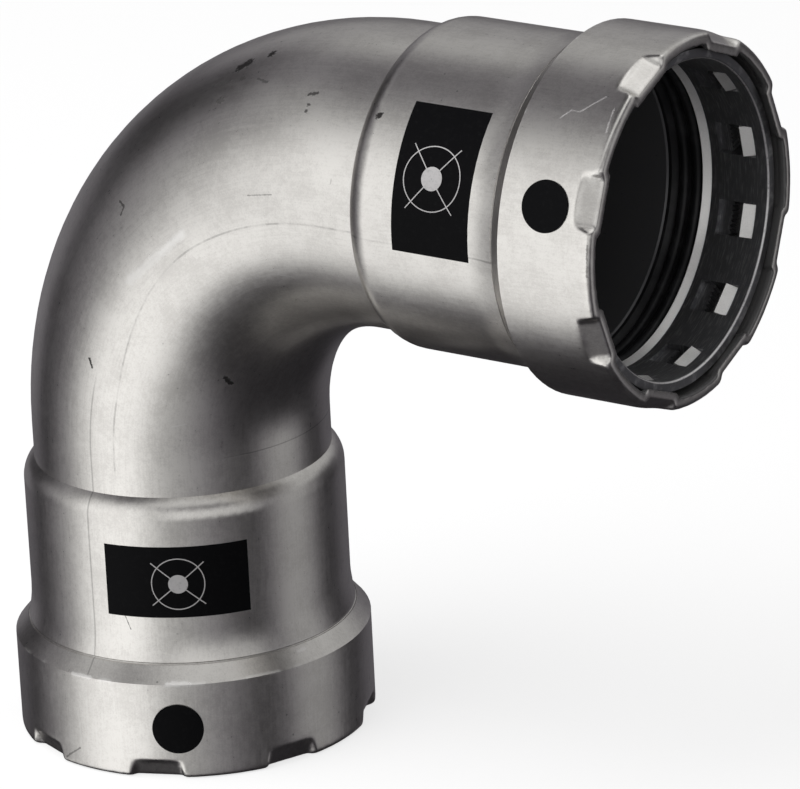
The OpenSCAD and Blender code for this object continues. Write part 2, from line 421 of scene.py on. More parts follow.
@dataclass(frozen=True)
class Specks:
    """Small dark specks, gathered in loose groups."""

    cell: float = 0.16
    spot: Ramp = Ramp(0.03, 0.075, 1.0, 0.0)
    spread: Noise = Noise(0.025)
    group: Ramp = Ramp(0.5, 0.66)
    strength: float = 0.5

    def mask(self, sheet: NodeSheet, pipe: PipeSpace) -> Socket:
        """Adds the specks' nodes.

        Args:
            sheet: where the nodes go.
            pipe: coordinates on the pipe.

        Returns:
            The strength of the specks.
        """
        spots = sheet.span(sheet.cells(pipe.vector, self.cell), self.spot)
        groups = sheet.span(sheet.noise(pipe.vector, self.spread), self.group)
        return sheet.all(spots, groups, self.strength)


@dataclass(frozen=True)
class SeamsAndKinkShade:
    """The weld along the tube, the line down the lower leg and the bend's first crease, and painted shade as a dark
    line along the kinks.
    """

    front: Ramp = Ramp(-42.0, -40.0, 1.0, 0.0)
    weld: Band = Band(0.0, 0.1, 0.35)
    weld_drift: Ramp = Ramp(20.0, 92.0, 7.9, 2.3)
    weld_start: Ramp = Ramp(-8.0, -4.0)
    weld_noise: Noise = Noise(0.11, 3.0, 0.7)
    weld_worn: Ramp = Ramp(0.42, 0.62, 0.25, 1.0)
    line: Band = Band(0.3, 0.1, 0.3)
    line_end: Ramp = Ramp(18.0, 30.0, 1.0, 0.0)
    crease: Band = Band(0.3, 0.15, 0.35)
    crease_end: Ramp = Ramp(-42.0, -33.0, 1.0, 0.0)
    kink_shade: Band = Band(KINK, 0.1, 0.25)
    kink_shade_strength: float = 0.7
    behind_collar: Ramp = Ramp(COLLAR_EDGE + 0.3, COLLAR_EDGE + 1.0)

    def mask(self, sheet: NodeSheet, pipe: PipeSpace) -> Socket:
        """Adds the nodes of the seams and of the painted kink shade.

        Args:
            sheet: where the nodes go.
            pipe: coordinates on the pipe.

        Returns:
            The strength of the seams and of the painted shade along the kinks.
        """
        front = sheet.span(pipe.side, self.front)
        drift = sheet.span(pipe.along, self.weld_drift)
        worn = sheet.span(sheet.noise(pipe.vector, self.weld_noise), self.weld_worn)
        weld = sheet.band(sheet.math("ADD", pipe.outward, drift), self.weld)
        weld = sheet.all(weld, front, worn, sheet.span(pipe.along, self.weld_start))
        line = sheet.all(sheet.band(pipe.outward, self.line), front, sheet.span(pipe.along, self.line_end))
        crease = sheet.all(sheet.band(pipe.along, self.crease), sheet.span(pipe.outward, self.crease_end))
        # Painted shade: a dark line all round the kink stands in for the shadow in the narrow gap there.
        kink_shade = sheet.all(sheet.band(pipe.depth, self.kink_shade), self.kink_shade_strength)
        return sheet.all(sheet.most([weld, line, crease, kink_shade]), sheet.span(pipe.depth, self.behind_collar))


@dataclass(frozen=True)
class WearAndRidgeHighlight:
    """Bright wear patches along the collar's sharp edge and the rim, and a painted highlight along the ridge behind
    the kink.
    """

    patch: Noise = Noise(0.14, 3.0, 0.6)
    edge: Band = Band(COLLAR_EDGE, 0.1, 0.8)
    edge_patch: Ramp = Ramp(0.50, 0.66)
    edge_strength: float = 0.45
    rim: Band = Band(0.7, 0.2, 0.7)
    rim_patch: Ramp = Ramp(0.42, 0.6)
    rim_strength: float = 0.2
    ridge_highlight: Band = Band(KINK + 0.35, 0.15, 0.3)
    ridge_highlight_end: Ramp = Ramp(-46.0, -38.0, 1.0, 0.0)
    ridge_highlight_strength: float = 0.5

    def mask(self, sheet: NodeSheet, pipe: PipeSpace) -> Socket:
        """Adds the nodes of the wear patches and the painted ridge highlight.

        Args:
            sheet: where the nodes go.
            pipe: coordinates on the pipe.

        Returns:
            The strength of the wear patches and the painted highlight.
        """
        patch = sheet.noise(pipe.vector, self.patch)
        outer = sheet.span(pipe.outward, self.ridge_highlight_end)
        edge = sheet.all(sheet.band(pipe.depth, self.edge), sheet.span(patch, self.edge_patch), self.edge_strength)
        rim = sheet.all(sheet.band(pipe.depth, self.rim), sheet.span(patch, self.rim_patch), self.rim_strength)
        # Painted highlight: a bright line just behind the kink, on the side towards the inside of the bend.
        ridge_highlight = sheet.all(sheet.band(pipe.depth, self.ridge_highlight), outer, self.ridge_highlight_strength)
        return sheet.most([edge, rim, ridge_highlight])


class Finish:
    """Base of the finishes: makes a material with a Principled shader."""

    name: str
    roughness: float
    swing: float
    relief: float

    def material(self) -> bpy.types.Material:
        """Makes the finish's material.

        Returns:
            The material.
        """
        made = bpy.data.materials.new(self.name)
        made.use_nodes = True
        sheet = NodeSheet(made.node_tree)
        self.dress(sheet, sheet.principled())
        return made

    def dress(self, sheet: NodeSheet, shader: bpy.types.Node) -> None:
        """Feeds the shader."""
        raise NotImplementedError

    def roughen(self, sheet: NodeSheet, shader: bpy.types.Node, noise: Socket) -> None:
        """Lets a noise swing the roughness to both sides."""
        rough = sheet.math("MULTIPLY_ADD", noise, 2.0 * self.swing, self.roughness - self.swing)
        sheet.feed(shader.inputs["Roughness"], rough)

    def bump(self, sheet: NodeSheet, shader: bpy.types.Node, height: Socket, normal: Socket | None = None) -> None:
        """Raises the surface by a height map whose full step is the relief, in millimetres.

        Args:
            sheet: where the nodes go.
            shader: the shader to feed.
            height: the height map.
            normal: the normal to start from, if it isn't the mesh's own.
        """
        inputs = {"Strength": 1.0, "Distance": self.relief * MM, "Height": height}
        if normal is not None:
            inputs["Normal"] = normal
        sheet.feed(shader.inputs["Normal"], sheet.node("ShaderNodeBump", inputs).outputs[0])


@dataclass(frozen=True)
class PlatedSteel(Finish):
    """Satin zinc plate over formed steel, with grain, pits, scratches and seams, painted highlights along the bend and
    behind the kink, and painted shade along the kink and on the inside.
    """

    name: str = "plated_steel"
    light: Colour = (0.83, 0.81, 0.775)
    dull: Colour = (0.68, 0.66, 0.63)
    pit: Colour = (0.05, 0.047, 0.047)
    bare_and_highlight: Colour = (0.95, 0.94, 0.92)
    # Painted shade: groove and bore are near black, standing in for the shade inside the fitting rather than the
    # steel's own colour.
    groove_shade: Colour = (0.11, 0.108, 0.108)
    bore: Colour = (0.10, 0.10, 0.104)
    roughness: float = 0.30
    swing: float = 0.08
    relief: float = 0.012
    grain: Noise = Noise(1.5, 3.0, 0.6)
    grain_share: float = 0.06
    fine: Noise = Noise(2.0, 2.0, 0.6)
    mottle: Noise = Noise(0.6, 3.0, 0.6)
    cloud: Noise = Noise(0.07, 4.0, 0.6)
    wobble: Noise = Noise(1.2, 3.0, 0.65)
    shade: Ramp = Ramp(0.43, 0.65)
    hollow_shade: Ramp = Ramp(KINK - 6.0, KINK + 1.0)
    specks: Specks = Specks()
    seams_and_kink_shade: SeamsAndKinkShade = SeamsAndKinkShade()
    wear_and_highlight: WearAndRidgeHighlight = WearAndRidgeHighlight()
    seam_dirt_and_shade: float = 0.35
    mark_dirt: float = 0.95
    mark_rough: float = 0.2
    pale_dullness: float = 0.5
    inside_dullness: float = 0.7

    def dress(self, sheet: NodeSheet, shader: bpy.types.Node) -> None:
        """Feeds the shader with grain, marks, painted highlights, and painted shade along the kink and on the inside.

        Args:
            sheet: where the nodes go.
            shader: the shader to feed.
        """
        pipe = PipeSpace.on(sheet)
        grain = sheet.noise(pipe.stretched(sheet, self.grain_share, 1.0), self.grain)
        fine = sheet.noise(pipe.vector, self.fine)
        mottle = sheet.noise(pipe.vector, self.mottle)
        cloud = sheet.noise(pipe.vector, self.cloud)
        wobble = sheet.math("SUBTRACT", sheet.noise(pipe.vector, self.wobble), 0.5)
        # The pale mask holds scratches, nicks and wear, and the painted highlights along the bend and behind the kink.
        dark, pale = (
            sheet.most([*(mark.mask(sheet, pipe.vector, wobble) for mark in marks), spread.mask(sheet, pipe)])
            for marks, spread in ((DARK_MARKS, self.specks), (PALE_MARKS_AND_PAINTED_HIGHLIGHT, self.wear_and_highlight))
        )
        seam_and_shade = self.seams_and_kink_shade.mask(sheet, pipe)
        inside = pipe.inside(sheet)
        tone = sheet.total((fine, 0.25), (cloud, 0.4), (mottle, 0.25), (grain, 0.2))
        colour = sheet.blend(sheet.span(tone, self.shade), self.dull, self.light)
        # Pale marks and wear lighten the steel towards bare metal; the streak on the bend and the ridge behind the
        # kink are painted highlights.
        colour = sheet.blend(pale, colour, self.bare_and_highlight)
        # Seams darken the steel; along the kink this darkening is painted shade.
        colour = sheet.blend(sheet.math("MULTIPLY", seam_and_shade, self.seam_dirt_and_shade), colour, self.pit)
        colour = sheet.blend(sheet.math("MULTIPLY", dark, self.mark_dirt), colour, self.pit)
        # Painted shade: faces that look towards the centre line take the dark groove and bore colours instead of the
        # plated steel.
        hollow_shade = sheet.blend(sheet.span(pipe.depth, self.hollow_shade), self.groove_shade, self.bore)
        sheet.feed(shader.inputs["Base Color"], sheet.blend(inside, colour, hollow_shade))
        # Metallic drops over the pale marks and over the painted-shade inside.
        dust = ((pale, self.pale_dullness), (inside, self.inside_dullness))
        dust = sheet.most([sheet.math("MULTIPLY", mask, share) for mask, share in dust])
        sheet.feed(shader.inputs["Metallic"], sheet.span(dust, FALLING))
        rough = sheet.total((grain, self.swing), (mottle, self.swing), (dark, self.mark_rough))
        sheet.feed(shader.inputs["Roughness"], sheet.math("ADD", rough, self.roughness - self.swing))
        height = sheet.total((grain, 0.35), (fine, 0.45), (mottle, 0.8), (seam_and_shade, -1.0))
        self.bump(sheet, shader, height, pipe.turned_normal(sheet))


@dataclass(frozen=True)
class BrightSteel(Finish):
    """Bright stainless steel of the teeth and the separator ring."""

    name: str = "bright_steel"
    light: Colour = (0.98, 0.97, 0.95)
    dull: Colour = (0.84, 0.83, 0.81)
    metal: float = 0.8
    roughness: float = 0.42
    swing: float = 0.08
    relief: float = 0.02
    brush: Noise = Noise(2.2, 3.0, 0.65)
    patch: Noise = Noise(0.18)
    shade: Ramp = Ramp(0.3, 0.6)

    def dress(self, sheet: NodeSheet, shader: bpy.types.Node) -> None:
        """Feeds the shader with a fine brush and dull patches.

        Args:
            sheet: where the nodes go.
            shader: the shader to feed.
        """
        vector, *_ = sheet.place()
        brush = sheet.noise(vector, self.brush)
        tone = sheet.total((brush, 0.4), (sheet.noise(vector, self.patch), 0.6))
        sheet.feed(shader.inputs["Base Color"], sheet.blend(sheet.span(tone, self.shade), self.dull, self.light))
        shader.inputs["Metallic"].default_value = self.metal
        self.roughen(sheet, shader, tone)
        self.bump(sheet, shader, brush)


@dataclass(frozen=True)
class BlackCage(Finish):
    """Blackened steel of the grip ring, scuffed round its bore and worn at its front edge."""

    name: str = "black_cage"
    coat: Colour = (0.22, 0.22, 0.23)
    scuff: Colour = (0.48, 0.48, 0.49)
    worn: Colour = (0.85, 0.84, 0.83)
    metal: float = 0.85
    roughness: float = 0.42
    swing: float = 0.1
    relief: float = 0.03
    turning: tuple[float, float] = (2.2, 0.16)
    scuffs: Noise = Noise(1.4, 3.0, 0.65)
    scuffed: Ramp = Ramp(0.48, 0.75)
    dust: Noise = Noise(0.9, 4.0, 0.65)
    dust_share: float = 0.5
    front: Band = Band(RING_FRONT + 0.2, 0.2, 0.15)
    bore: Band = Band(RING_INNER_R + 0.2, 0.2, 0.15)
    patchy: Ramp = Ramp(0.2, 0.5)

    def dress(self, sheet: NodeSheet, shader: bpy.types.Node) -> None:
        """Feeds the shader with scuffs and a worn edge.

        Args:
            sheet: where the nodes go.
            shader: the shader to feed.
        """
        pipe = PipeSpace.on(sheet)
        scuffs = sheet.noise(pipe.stretched(sheet, *self.turning), self.scuffs)
        dust = sheet.noise(pipe.vector, self.dust)
        front = sheet.band(pipe.depth, self.front)
        edge = sheet.all(front, sheet.band(pipe.reach, self.bore), sheet.span(dust, self.patchy))
        colour = sheet.blend(sheet.span(scuffs, self.scuffed), self.coat, self.scuff)
        sheet.feed(shader.inputs["Base Color"], sheet.blend(edge, colour, self.worn))
        shader.inputs["Metallic"].default_value = self.metal
        self.roughen(sheet, shader, scuffs)
        self.bump(sheet, shader, sheet.math("MULTIPLY_ADD", dust, self.dust_share, scuffs))


@dataclass(frozen=True)
class Coat(Finish):
    """A dark coat of uneven tone with a fine skin."""

    name: str
    solid: Colour
    thin: Colour
    gloss: float
    roughness: float
    relief: float
    cover: Noise
    thinning: Ramp
    skin: Noise
    swing: float = 0.1

    def dress(self, sheet: NodeSheet, shader: bpy.types.Node) -> None:
        """Feeds the shader with the uneven tone and the skin.

        Args:
            sheet: where the nodes go.
            shader: the shader to feed.
        """
        vector, *_ = sheet.place()
        cover = sheet.noise(vector, self.cover)
        skin = sheet.noise(vector, self.skin)
        sheet.feed(shader.inputs["Base Color"], sheet.blend(sheet.span(cover, self.thinning), self.solid, self.thin))
        shader.inputs["Specular IOR Level"].default_value = self.gloss
        self.roughen(sheet, shader, skin)
        self.bump(sheet, shader, skin)


@dataclass(frozen=True)
class SealRubber(Coat):
    """Smooth black rubber with a faint bloom."""

    name: str = "seal_rubber"
    solid: Colour = (0.012, 0.012, 0.013)
    thin: Colour = (0.03, 0.03, 0.032)
    gloss: float = 0.25
    roughness: float = 0.36
    relief: float = 0.03
    cover: Noise = Noise(0.12, 3.0, 0.6)
    thinning: Ramp = Ramp(0.4, 0.75)
    skin: Noise = Noise(1.6, 3.0, 0.6)


@dataclass(frozen=True)
class PrintInk(Coat):
    """Printed ink of slightly uneven cover."""

    name: str = "black_ink"
    solid: Colour = (0.003, 0.003, 0.0035)
    thin: Colour = (0.006, 0.006, 0.0065)
    gloss: float = 0.06
    roughness: float = 0.5
    relief: float = 0.01
    cover: Noise = Noise(0.8, 4.0, 0.65)
    thinning: Ramp = Ramp(0.5, 0.8)
    skin: Noise = Noise(4.0, 2.0, 0.6)


def only(*objects: bpy.types.Object) -> None:
    """Selects these objects alone and makes the first one active.

    Args:
        objects: what to select.
    """
    bpy.ops.object.select_all(action="DESELECT")
    for item in objects:
        item.select_set(True)
    bpy.context.view_layer.objects.active = objects[0]


@contextmanager
def editing(everything: bool = True) -> Iterator[None]:
    """Edits the active object's mesh.

    Args:
        everything: whether all of the mesh is selected first.

    Returns:
        A context in edit mode.
    """
    bpy.ops.object.mode_set(mode="EDIT")
    if everything:
        bpy.ops.mesh.select_all(action="SELECT")
    yield
    bpy.ops.object.mode_set(mode="OBJECT")


def modify(piece: bpy.types.Object, kind: str, **settings: object) -> bpy.types.Modifier:
    """Adds a modifier to a piece.

    Args:
        piece: what to modify.
        kind: the modifier's type.
        settings: properties by name.

    Returns:
        The modifier.
    """
    made = piece.modifiers.new(kind.lower(), kind)
    for name, value in settings.items():
        setattr(made, name, value)
    return made


def apply_all(piece: bpy.types.Object) -> None:
    """Applies a piece's modifiers in their order.

    Args:
        piece: what to work on.
    """
    only(piece)
    for modifier in list(piece.modifiers):
        bpy.ops.object.modifier_apply(modifier=modifier.name)


def finish_print(piece: bpy.types.Object, ink: float, name: str) -> bpy.types.Object:
    """Thickens a print, applies its modifiers and placement, and shades it smooth.

    Args:
        piece: the object to finish.
        ink: thickness of the ink, in millimetres.
        name: what to call it.

    Returns:
        The same object, at the origin.
    """
    modify(piece, "SOLIDIFY", thickness=ink * MM, offset=1.0)
    apply_all(piece)
    bpy.ops.object.transform_apply(location=True, rotation=True, scale=True)
    bpy.ops.object.shade_smooth_by_angle(angle=math.radians(SMOOTH_ANGLE))
    piece.name = piece.data.name = name
    return piece


@dataclass
class CrimpedBody:
    """The steel body with the edges of its crimped rims rounded off."""

    source: bpy.types.Object
    grid: float = 0.5
    rounds: int = 20
    reach: float = 10.0
    joint: float = 8.0
    band: float = 0.1
    crease: float = 35.0

    def build(self) -> bpy.types.Object:
        """Rounds both rims, joins them to the rest of the body and closes the joints.

        Returns:
            The body, as one closed mesh.
        """
        body = self.copy()
        for leg in Leg:
            self.cut(body, leg, self.joint + self.band, rim=False)
        only(body, *(self.rim(leg) for leg in Leg))
        bpy.ops.object.join()
        for leg in Leg:
            self.close(body, leg, outer=True)
            self.close(body, leg, outer=False)
        bpy.ops.object.shade_smooth_by_angle(angle=math.radians(self.crease))
        modify(body, "WEIGHTED_NORMAL", keep_sharp=True)
        apply_all(body)
        body.name = body.data.name = "steel_body"
        return body

    def copy(self) -> bpy.types.Object:
        """Copies the CAD body's mesh into an object of its own and merges its points.

        Returns:
            The copy.
        """
        made = bpy.data.objects.new("body_copy", self.source.data.copy())
        bpy.context.scene.collection.objects.link(made)
        only(made)
        bpy.ops.mesh.customdata_custom_splitnormals_clear()
        with editing():
            bpy.ops.mesh.remove_doubles(threshold=MERGE_DISTANCE)
        return made

    def close(self, body: bpy.types.Object, leg: Leg, outer: bool) -> None:
        """Bridges the narrow gap between a rim and the body.

        Args:
            body: the body, with its rims joined on.
            leg: whose rim it is.
            outer: whether to close the outside or the inside of the wall.
        """
        with editing(everything=False):
            bpy.ops.mesh.select_mode(type="EDGE")
            bpy.ops.mesh.select_all(action="DESELECT")
            bpy.ops.mesh.select_non_manifold(
                use_wire=False, use_multi_face=False, use_non_contiguous=False, use_verts=False
            )
        points = body.data.vertices
        for edge in [edge for edge in body.data.edges if edge.select]:
            depth, wide = self.polar(leg, points[edge.vertices[0]].co)
            near = abs(depth - self.joint) < 2.0 * self.band
            edge.select = near and (wide > OUTER_WALL_R) == outer
        with editing(everything=False):
            bpy.ops.mesh.bridge_edge_loops()
            bpy.ops.mesh.select_mode(type="VERT")

    @staticmethod
    def polar(leg: Leg, place: Vector) -> tuple[float, float]:
        """Measures a point from a leg's rim and axis.

        Args:
            leg: which leg.
            place: the point, in metres.

        Returns:
            Depth behind the rim and distance from the axis, in millimetres.
        """
        off = place - leg.rim()
        depth = off.dot(leg.inward())
        return depth / MM, (off - leg.inward() * depth).length / MM

    def rim(self, leg: Leg) -> bpy.types.Object:
        """Cuts off one rim, closes it, rounds it and opens it again at the joint.

        Args:
            leg: whose rim it is.

        Returns:
            The rim alone.
        """
        rim = self.copy()
        self.cut(rim, leg, self.reach, rim=True)
        with editing(everything=False):
            bpy.ops.mesh.bridge_edge_loops()
        modify(rim, "REMESH", mode="VOXEL", voxel_size=self.grid * MM, use_smooth_shade=True)
        apply_all(rim)
        outside = rim.vertex_groups.new(name="outside")
        outside.add([v.index for v in rim.data.vertices if self.rounded(leg, v.co)], 1.0, "REPLACE")
        modify(rim, "SMOOTH", factor=0.5, iterations=self.rounds, vertex_group=outside.name)
        apply_all(rim)
        self.cut(rim, leg, self.joint, rim=True)
        return rim

    def rounded(self, leg: Leg, place: Vector) -> bool:
        """Whether a point is on the rim's lip or outside, clear of the grip ring."""
        depth, wide = self.polar(leg, place)
        return depth < RING_FRONT or wide > OUTER_WALL_R

    @staticmethod
    def cut(piece: bpy.types.Object, leg: Leg, depth: float, rim: bool) -> None:
        """Cuts a piece across a leg.

        Args:
            piece: what to cut.
            leg: which leg.
            depth: distance of the cut from the rim, in millimetres.
            rim: whether to keep the rim or the rest.
        """
        only(piece)
        plane = leg.rim() + leg.inward() * depth * MM
        with editing():
            bpy.ops.mesh.bisect(plane_co=plane, plane_no=leg.inward(), clear_outer=rim, clear_inner=not rim)


def disc(radius: float) -> bpy.types.Object:
    """Draws a finely divided disc round the origin.

    Args:
        radius: its radius, in millimetres.

    Returns:
        The disc.
    """
    bpy.ops.object.select_all(action="DESELECT")
    bpy.ops.mesh.primitive_circle_add(vertices=72, radius=radius * MM, fill_type="TRIFAN")
    with editing():
        bpy.ops.mesh.subdivide(number_cuts=5)
    return bpy.context.object


@dataclass
class PrintedField:
    """A rectangle of ink that lies on a leg's socket."""

    leg: Leg
    turn: tuple[float, float]
    depth: tuple[float, float]
    radius: float = SOCKET_R + PRINT_GAP
    ink: float = 0.04
    steps: int = 72

    def build(self) -> bpy.types.Object:
        """Spins a straight edge round the leg and thickens the strip.

        Returns:
            The printed field.
        """
        bpy.ops.object.select_all(action="DESELECT")
        bpy.ops.mesh.primitive_plane_add(size=1.0)
        piece = bpy.context.object
        start = self.leg.place(self.radius, self.turn[0], self.depth[0]).translation
        run = self.leg.inward() * (self.depth[1] - self.depth[0]) * MM
        sweep = math.radians(self.turn[0] - self.turn[1])
        with editing():
            bpy.ops.mesh.merge(type="CENTER")
            bpy.ops.transform.translate(value=start)
            bpy.ops.mesh.extrude_region_move(TRANSFORM_OT_translate={"value": run})
            bpy.ops.mesh.select_all(action="SELECT")
            bpy.ops.mesh.spin(steps=self.steps, angle=sweep, center=self.leg.rim(), axis=self.leg.inward())
            bpy.ops.mesh.select_all(action="SELECT")
            bpy.ops.mesh.normals_make_consistent(inside=False)
        return finish_print(piece, self.ink, f"{self.leg.value}_print_field")


@dataclass
class PrintedShape:
    """A flat shape of ink that is wrapped round a leg."""

    leg: Leg
    turn: float
    depth: float
    radius: float
    size: float
    ink: float = 0.04

    def build(self) -> bpy.types.Object:
        """Draws the shape, bends it onto the leg and thickens it.

        Returns:
            The printed shape.
        """
        piece = self.draw()
        only(piece)
        with editing():
            bpy.ops.transform.translate(value=(0.0, 0.0, self.radius * MM))
        piece.matrix_world = self.leg.place(0.0, self.turn, self.depth)
        core = bpy.data.objects.new("axis", None)
        bpy.context.scene.collection.objects.link(core)
        core.matrix_world = piece.matrix_world @ Matrix.Rotation(math.radians(-90.0), 4, "X")
        bpy.context.view_layer.update()
        bend = modify(piece, "CAST", cast_type="CYLINDER", object=core, use_transform=True, factor=1.0)
        bend.size = self.radius * MM
        finish_print(piece, self.ink, f"{self.leg.value}_{self.label()}")
        bpy.data.objects.remove(core)
        return piece

    def label(self) -> str:
        """Name of the shape."""
        raise NotImplementedError

    def draw(self) -> bpy.types.Object:
        """Makes the flat shape round the origin, facing up."""
        raise NotImplementedError


@dataclass
class PrintedDot(PrintedShape):
    """A round spot of ink on the collar."""

    def label(self) -> str:
        """Name of the shape."""
        return "print_dot"

    def draw(self) -> bpy.types.Object:
        """Draws the spot."""
        return disc(self.size)


@dataclass
class PrintedTarget(PrintedShape):
    """A plain ring with a thin cross over it and a dot, in the middle of a printed field."""

    stroke: float = 0.32
    lean: float = 40.0
    reach: float = 1.28
    dot: float = 0.36

    def label(self) -> str:
        """Name of the shape."""
        return "print_target"

    def draw(self) -> bpy.types.Object:
        """Draws the ring, the two bars of the cross and the dot.

        Returns:
            The target, lying flat.
        """
        bpy.ops.object.select_all(action="DESELECT")
        bpy.ops.mesh.primitive_circle_add(vertices=96, radius=self.size * MM, fill_type="NOTHING")
        ring = bpy.context.object
        inner = (self.size - self.stroke) / self.size
        with editing():
            bpy.ops.mesh.extrude_region_move(TRANSFORM_OT_translate={"value": (0.0, 0.0, 0.0)})
            bpy.ops.transform.resize(value=(inner, inner, 1.0))
        bars = [self.bar(turn) for turn in (self.lean, -self.lean)]
        only(ring, *bars, disc(self.dot * self.size))
        bpy.ops.object.join()
        return ring

    def bar(self, turn: float) -> bpy.types.Object:
        """Draws one bar of the cross, which ends a little past the ring.

        Args:
            turn: its turn from the level, in degrees.

        Returns:
            The bar.
        """
        bpy.ops.object.select_all(action="DESELECT")
        bpy.ops.mesh.primitive_grid_add(x_subdivisions=24, y_subdivisions=1, size=1.0)
        bar = bpy.context.object
        bar.scale = (2.0 * self.reach * self.size * MM, self.stroke * MM, 1.0)
        bar.rotation_euler = (0.0, 0.0, math.radians(turn))
        bpy.ops.object.transform_apply(location=True, rotation=True, scale=True)
        return bar


@dataclass(frozen=True)
class Panel:
    """A soft panel of light in the world, as angles from the object."""

    azimuth: float
    inner: float
    outer: float
    low: tuple[float, float]
    high: tuple[float, float]
    strength: float

    def level(self, sheet: NodeSheet, flat: Socket, height: Socket) -> Socket:
        """Adds the panel's nodes.

        Args:
            sheet: where the nodes go.
            flat: level direction of the ray.
            height: angle of the ray above the horizon, in degrees.

        Returns:
            One on the panel, fading to nothing past its edges.
        """
        a = math.radians(self.azimuth)
        facing = sheet.dot(flat, (math.sin(a), -math.cos(a), 0.0))
        away = sheet.math("MULTIPLY", sheet.math("ARCCOSINE", facing), DEGREES)
        sides = sheet.span(away, Ramp(self.inner, self.outer, 1.0, 0.0))
        return sheet.all(sides, sheet.span(height, Ramp(*self.low)), sheet.span(height, Ramp(*self.high, 1.0, 0.0)))


PANELS = (
    Panel(-20.0, 14.0, 40.0, (-54.0, -40.0), (28.0, 62.0), 0.67),
    Panel(-5.0, 5.0, 88.0, (-64.0, -40.0), (15.0, 60.0), 0.48),
    Panel(-62.0, 6.0, 30.0, (-56.0, -42.0), (-34.0, -18.0), 0.42),
    Panel(-65.0, 8.0, 30.0, (-8.0, 12.0), (42.0, 58.0), 0.14),
    Panel(119.0, 6.0, 32.0, (-38.0, -23.0), (10.0, 40.0), 0.34),
    Panel(55.0, 20.0, 42.0, (-12.0, 0.0), (22.0, 36.0), 0.55),
    Panel(-122.0, 12.0, 30.0, (-26.0, -16.0), (-4.0, 6.0), 0.17),
    Panel(-168.0, 8.0, 32.0, (-42.0, -28.0), (0.0, 14.0), 0.09),
    Panel(-155.0, 20.0, 45.0, (0.0, 15.0), (60.0, 75.0), 0.28),
    Panel(-110.0, 60.0, 90.0, (30.0, 42.0), (54.0, 66.0), 0.17),
    Panel(150.0, 15.0, 40.0, (8.0, 24.0), (60.0, 80.0), 0.42),
    Panel(70.0, 55.0, 95.0, (38.0, 52.0), (75.0, 86.0), 0.60),
    Panel(150.0, 50.0, 85.0, (62.0, 73.0), (90.0, 91.0), 0.90),
)


